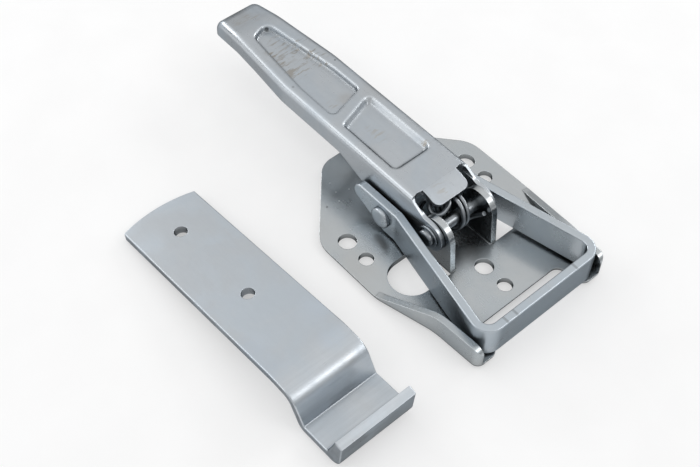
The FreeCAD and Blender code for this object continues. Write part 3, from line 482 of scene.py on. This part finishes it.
def zinc_plated(name, along=(1, 1, 1), rough_by=1.0, tone=1.0, grain=1.0, pitted=0.4, painted_nook_shade=0.0,
                clear=0.80, bent=None, pressed=None, marks=()):
    """Zinc plating on rolled steel: cool clouds, faint stains, rolling lines and rounded edges.

    along       scale of the rolling lines, small on the axis that they follow
    rough_by    what the roughness is multiplied by
    tone        what the colours are multiplied by, one number or one for each channel
    grain       strength of the fine mottle and of the relief
    pitted      depth of the relief's pits
    grime       how strongly painted shade darkens the sheltered nooks
    clear       how open a place must be to get no painted shade
    bent        where on X a bend's streaks start, and where they show in full
    pressed     lowest corner, highest corner and radius of a region with soft pressed edges
    marks       rows like those of BASE_MARKS
    """
    finish = bpy.context.scene.latch_finish
    board = Board(bpy.data.materials.new(name))
    place = board.add("ShaderNodeTexCoord").outputs["Object"]
    zinc, cool, warm = (scaled(c, tone) for c in (finish.zinc, finish.bluish, finish.warm))

    clouds = board.span(board.noise(place, *CLOUDS), *CLOUD_RANGE)
    stains = board.noise(board.mapped(place, STAIN_STRETCH, STAIN_PLACE), *STAINS)
    stains = board.span(stains, *STAIN_RANGE, 0.0, STAIN_SHARE)
    colour = board.blend(stains, board.blend(clouds, zinc, cool), warm)

    fine = board.noise(place, *GRAIN)
    lines = board.noise(board.mapped(place, along), *LINES)
    mottle = board.math("ADD", board.span(fine, *USUAL_RANGE, -0.5, 0.5),
                        board.span(lines, *USUAL_RANGE, -0.5, 0.5))
    colour = board.shaded(colour, board.math("MULTIPLY", mottle, MOTTLE_SHADE * grain))

    rounded = rounded_edges(board, place, finish.edge_round, pressed)
    # Open edges lighter as wear and painted sheen; creases darker with painted shade
    colour = edge_wear_sheen_and_crease_shade(board, colour, zinc, rounded)
    # Painted shade: the colour darkens in nooks where other metal stands within NOOK_REACH
    if painted_nook_shade:
        nook_shading = board.span(board.shelter(NOOK_REACH), NOOK_CLOSED, clear, painted_nook_shade, 0.0)
        colour = board.blend(nook_shading, colour, scaled(zinc, NOOK_SHADE_TONE))
    if bent:
        streaks = bend_streaks(board, place, *bent)
        colour = board.shaded(colour, board.math("MULTIPLY", streaks, STREAK_SHADE))
        mottle = board.math("ADD", mottle, board.math("MULTIPLY", streaks, STREAK_MOTTLE))

    level = finish.gloss * rough_by
    rough = board.math("ADD", board.span(clouds, 0, 1, level * SMOOTH_CLOUD, level * ROUGH_CLOUD),
                       board.math("MULTIPLY", mottle, MOTTLE_ROUGH * grain))
    if marks:
        colour, rough = marked(board, place, fine, colour, rough, zinc, warm, marks)

    pits = board.span(board.noise(place, *PITS), *PIT_RANGE, 0.0, -pitted)
    relief = board.math("ADD", board.math("MULTIPLY", mottle, MOTTLE_HEIGHT), pits)
    swell = board.math("MULTIPLY", board.noise(place, *SWELL), SWELL_HEIGHT)
    bump = board.add("ShaderNodeBump", {
        "Strength": BUMP_STRENGTH * grain, "Distance": BUMP_DISTANCE,
        "Height": board.math("ADD", relief, swell), "Normal": rounded})
    skin = board.add("ShaderNodeBsdfPrincipled", {
        "Metallic": 1.0, "Specular Tint": (finish.edge_tint,) * 3 + (1,),
        "Base Color": colour, "Roughness": rough, "Normal": bump.outputs["Normal"]})
    board.add("ShaderNodeOutputMaterial", {"Surface": skin.outputs["BSDF"]})
    return board.owner


def dress(node, material):
    """Give a CAD node a better material in each of its slots."""
    piece = NODES[node]
    if not piece.material_slots:
        piece.data.materials.append(material)
    for slot in piece.material_slots:
        slot.material = material


# Pieces

class LATCH_OT_base(bpy.types.Operator):
    """Finish the pressed base plate"""
    bl_idname = "latch.base"
    bl_label = "Base plate"

    def execute(self, context):
        dress("base_plate", zinc_plated(
            "zinc_base_plate", along=(0.06, 1, 1), rough_by=0.8, tone=(1.0, 0.985, 0.955),
            grain=0.6, painted_nook_shade=0.8, marks=BASE_MARKS))
        return {"FINISHED"}


class LATCH_OT_lever(bpy.types.Operator):
    """Finish the pressed lever"""
    bl_idname = "latch.lever"
    bl_label = "Lever"

    def execute(self, context):
        dress("lever", zinc_plated(
            "zinc_lever", along=(0.08, 1, 1), rough_by=1.1, painted_nook_shade=0.5, pressed=DISHES,
            marks=LEVER_MARKS))
        return {"FINISHED"}


class LATCH_OT_loop(bpy.types.Operator):
    """Finish the pull loop's flat bar"""
    bl_idname = "latch.loop"
    bl_label = "Pull loop"

    def execute(self, context):
        dress("pull_loop", zinc_plated(
            "zinc_pull_loop", along=(0.05, 0.6, 1), rough_by=0.95, tone=(1.0, 1.02, 1.03),
            grain=0.6, marks=LOOP_MARKS))
        return {"FINISHED"}


class LATCH_OT_hook_plate(bpy.types.Operator):
    """Finish the separate bent hook plate"""
    bl_idname = "latch.hook_plate"
    bl_label = "Hook plate"

    def execute(self, context):
        dress("hook_plate", zinc_plated(
            "zinc_hook_plate", along=(0.05, 1, 1), rough_by=1.15, tone=1.08, grain=0.5, pitted=0.0,
            painted_nook_shade=1.0, clear=0.60, bent=HOOK_BEND, marks=HOOK_MARKS))
        return {"FINISHED"}


class LATCH_OT_spring(bpy.types.Operator):
    """Finish the torsion spring's drawn wire"""
    bl_idname = "latch.spring"
    bl_label = "Torsion spring"

    def execute(self, context):
        dress("torsion_spring", zinc_plated(
            "drawn_spring_wire", along=(1, 0.1, 1), rough_by=1.1, tone=0.62, painted_nook_shade=0.5))
        return {"FINISHED"}


class LATCH_OT_rivets(bpy.types.Operator):
    """Turn the two loop rivets with their formed heads"""
    bl_idname = "latch.rivets"
    bl_label = "Loop rivets"

    def execute(self, context):
        metal = zinc_plated("zinc_rivets", rough_by=0.9)
        sizes = context.scene.latch_sizes
        tail = head(RIVET_TAIL_RADIUS, RIVET_TAIL_HEIGHT, RIVET_TAIL_CROWN)
        crown = head(RIVET_HEAD_RADIUS, RIVET_HEAD_HEIGHT, sizes.rivet_crown)
        for side, sign in (("left", -1), ("right", 1)):
            node = side + "_rivet"
            at = middle(node)
            inner, outer = sorted(abs(corner.y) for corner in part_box(node))
            start, stop = inner + RIVET_TAIL_HEIGHT, outer - RIVET_HEAD_HEIGHT
            y0, y1 = sorted((sign * start, sign * stop))
            piece = turned(side + "_loop_rivet", at.x, at.z, y0, y1, (tail, crown)[::sign])
            settle(piece, "lever", metal, node)
        return {"FINISHED"}


class LATCH_OT_pivot_pin(bpy.types.Operator):
    """Turn the pivot pin with its two heads"""
    bl_idname = "latch.pivot_pin"
    bl_label = "Pivot pin"

    def execute(self, context):
        low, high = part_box("pivot_pin")
        at = middle("pivot_pin")
        # The pin's zinc is toned darker as painted shade for its dark reflections
        metal = zinc_plated("zinc_pin", along=(1, 0.1, 1), tone=0.60, painted_nook_shade=0.6)
        crown = head(PIN_HEAD_RADIUS, PIN_HEAD_HEIGHT, context.scene.latch_sizes.pin_crown)
        piece = turned("headed_pivot_pin", at.x, at.z, low.y + PIN_HEAD_HEIGHT,
                       high.y - PIN_HEAD_HEIGHT, (crown, crown))
        settle(piece, "base", metal, "pivot_pin")
        return {"FINISHED"}


class LATCH_OT_washer(bpy.types.Operator):
    """Punch the washer under the pin's left head"""
    bl_idname = "latch.washer"
    bl_label = "Pivot washer"

    def execute(self, context):
        low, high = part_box("pivot_washer")
        at = middle("pivot_washer")
        metal = zinc_plated("zinc_washer", rough_by=0.9, tone=0.90, painted_nook_shade=0.5)
        set_aside()
        bpy.ops.mesh.primitive_circle_add(
            vertices=SIDES, radius=SHANK_RADIUS, fill_type="NOTHING",
            location=(at.x, low.y, at.z), rotation=ACROSS)
        piece = context.object
        piece.name = piece.data.name = "punched_washer"
        bpy.ops.object.transform_apply(location=True, rotation=True, scale=True)
        bpy.ops.object.mode_set(mode="EDIT")
        bpy.ops.mesh.select_all(action="SELECT")
        bpy.ops.mesh.extrude_region_move(TRANSFORM_OT_translate={"value": (0, 0, 0)})
        ratio = (high.x - low.x) / 2 / SHANK_RADIUS
        bpy.ops.transform.resize(value=(ratio, 1, ratio), center_override=(at.x, low.y, at.z))
        bpy.ops.mesh.select_all(action="SELECT")
        bpy.ops.mesh.extrude_region_move(
            TRANSFORM_OT_translate={"value": (0, high.y - low.y, 0), "orient_type": "GLOBAL"})
        bpy.ops.object.mode_set(mode="OBJECT")
        rim = piece.modifiers.new("rim", "BEVEL")
        rim.width = BROKEN_EDGE
        rim.segments = 2
        rim.limit_method = "ANGLE"
        rim.angle_limit = RIM_ANGLE
        bpy.ops.object.modifier_apply(modifier="rim")
        settle(piece, "base", metal, "pivot_washer")
        return {"FINISHED"}


# Stage

def lay_floor(size):
    """A wide pale floor that keeps the object's shadow."""
    bpy.ops.mesh.primitive_plane_add(size=size, location=(0, 0, -FLOOR_DROP))
    floor = bpy.context.object
    floor.name = "floor"
    board = Board(bpy.data.materials.new("pale_floor"))
    place = board.add("ShaderNodeTexCoord").outputs["Object"]
    clouds = board.span(board.noise(place, *FLOOR_CLOUDS), *USUAL_RANGE)
    plain = board.add("ShaderNodeBsdfDiffuse", {
        "Color": board.blend(clouds, FLOOR_DARK, FLOOR_PALE)})
    white = board.add("ShaderNodeEmission", {"Strength": 1.0})
    path = board.add("ShaderNodeLightPath").outputs
    seen = board.math("MAXIMUM", path["Is Camera Ray"], path["Is Glossy Ray"])
    seen = board.math("MAXIMUM", seen, path["Is Transmission Ray"])
    mix = board.add("ShaderNodeMixShader", {"Fac": board.math("MULTIPLY", seen, FLOOR_WHITE)})
    board.feed(mix.inputs[1], plain.outputs["BSDF"])
    board.feed(mix.inputs[2], white.outputs["Emission"])
    board.add("ShaderNodeOutputMaterial", {"Surface": mix.outputs["Shader"]})
    floor.data.materials.append(board.owner)


def hang_sky(scene):
    """A soft studio sky, darker below the object."""
    board = Board(bpy.data.worlds.new("studio"))
    scene.world = board.owner
    way = board.add("ShaderNodeTexCoord").outputs["Generated"]
    ramp = board.add("ShaderNodeValToRGB", {"Fac": board.axes(way)["Z"]})
    stops = ramp.color_ramp.elements
    stops[0].color = SKY_LOW
    stops[1].color = SKY_HIGH
    stops.new(SKY_MIDDLE_AT).color = SKY_MIDDLE
    back = board.add("ShaderNodeBackground", {
        "Color": ramp.outputs["Color"], "Strength": SKY_STRENGTH})
    board.add("ShaderNodeOutputWorld", {"Surface": back.outputs["Background"]})


def hang_lamp(scene, name, place, size, power):
    """A soft lamp that points at the object."""
    data = bpy.data.lights.new(name, "AREA")
    data.shape = "RECTANGLE"
    data.size, data.size_y = size
    data.energy = power
    lamp = bpy.data.objects.new(name, data)
    scene.collection.objects.link(lamp)
    lamp.location = place
    aim = Vector(LAMP_AIM) - Vector(place)
    lamp.rotation_euler = aim.to_track_quat("-Z", "Y").to_euler()


def set_camera(scene):
    """The camera at the photograph's viewing angle."""
    sight = bpy.data.cameras.new("photo_view")
    sight.sensor_width = SENSOR_WIDTH
    sight.lens = LENS
    sight.clip_start = CLIP_START
    camera = bpy.data.objects.new("photo_view", sight)
    scene.collection.objects.link(camera)
    a, e, r = math.radians(AZIMUTH), math.radians(ELEVATION), math.radians(ROLL)
    back = Vector((math.cos(e) * math.cos(a), math.cos(e) * math.sin(a), math.sin(e)))
    right = Vector((-math.sin(a), math.cos(a), 0))
    up = back.cross(right)
    right, up = right * math.cos(r) + up * math.sin(r), up * math.cos(r) - right * math.sin(r)
    place = (right * SHIFT_RIGHT + up * SHIFT_UP + back * SHIFT_BACK) * MM
    turn = Matrix((right, up, back)).transposed()
    camera.matrix_world = Matrix.Translation(place) @ turn.to_4x4()
    scene.camera = camera


class LATCH_OT_stage(bpy.types.Operator):
    """Set up the floor, the lamps, the sky and the camera"""
    bl_idname = "latch.stage"
    bl_label = "Stage"

    def execute(self, context):
        scene = context.scene
        scene.view_settings.view_transform = "Standard"
        set_aside()
        lay_floor(scene.latch_sizes.floor_size)
        hang_sky(scene)
        for lamp in LAMPS:
            hang_lamp(scene, *lamp)
        set_camera(scene)
        return {"FINISHED"}


STEPS = (LATCH_OT_base, LATCH_OT_lever, LATCH_OT_loop, LATCH_OT_hook_plate, LATCH_OT_spring,
         LATCH_OT_rivets, LATCH_OT_pivot_pin, LATCH_OT_washer, LATCH_OT_stage)


class LATCH_PT_panel(bpy.types.Panel):
    """The latch's finish, sizes and steps"""
    bl_idname = "LATCH_PT_panel"
    bl_label = "Drop side latch"
    bl_space_type = "VIEW_3D"
    bl_region_type = "UI"
    bl_category = "Latch"

    def draw(self, context):
        for group in (context.scene.latch_finish, context.scene.latch_sizes):
            for name in group.__annotations__:
                self.layout.prop(group, name)
        for step in STEPS:
            self.layout.operator(step.bl_idname)


CLASSES = (LatchFinish, LatchSizes, *STEPS, LATCH_PT_panel)


def register():
    for item in CLASSES:
        bpy.utils.register_class(item)
    bpy.types.Scene.latch_finish = bpy.props.PointerProperty(type=LatchFinish)
    bpy.types.Scene.latch_sizes = bpy.props.PointerProperty(type=LatchSizes)


def unregister():
    del bpy.types.Scene.latch_sizes
    del bpy.types.Scene.latch_finish
    for item in reversed(CLASSES):
        bpy.utils.unregister_class(item)


def plain(bounds):
    """A box's two corners as plain lists."""
    return [[float(v) for v in corner] for corner in bounds]


def main():
    register()
    bpy.ops.latch.base()
    bpy.ops.latch.lever()
    bpy.ops.latch.loop()
    bpy.ops.latch.hook_plate()
    bpy.ops.latch.spring()
    bpy.ops.latch.rivets()
    bpy.ops.latch.pivot_pin()
    bpy.ops.latch.washer()
    bpy.ops.latch.stage()


if __name__ == "__main__":
    main()
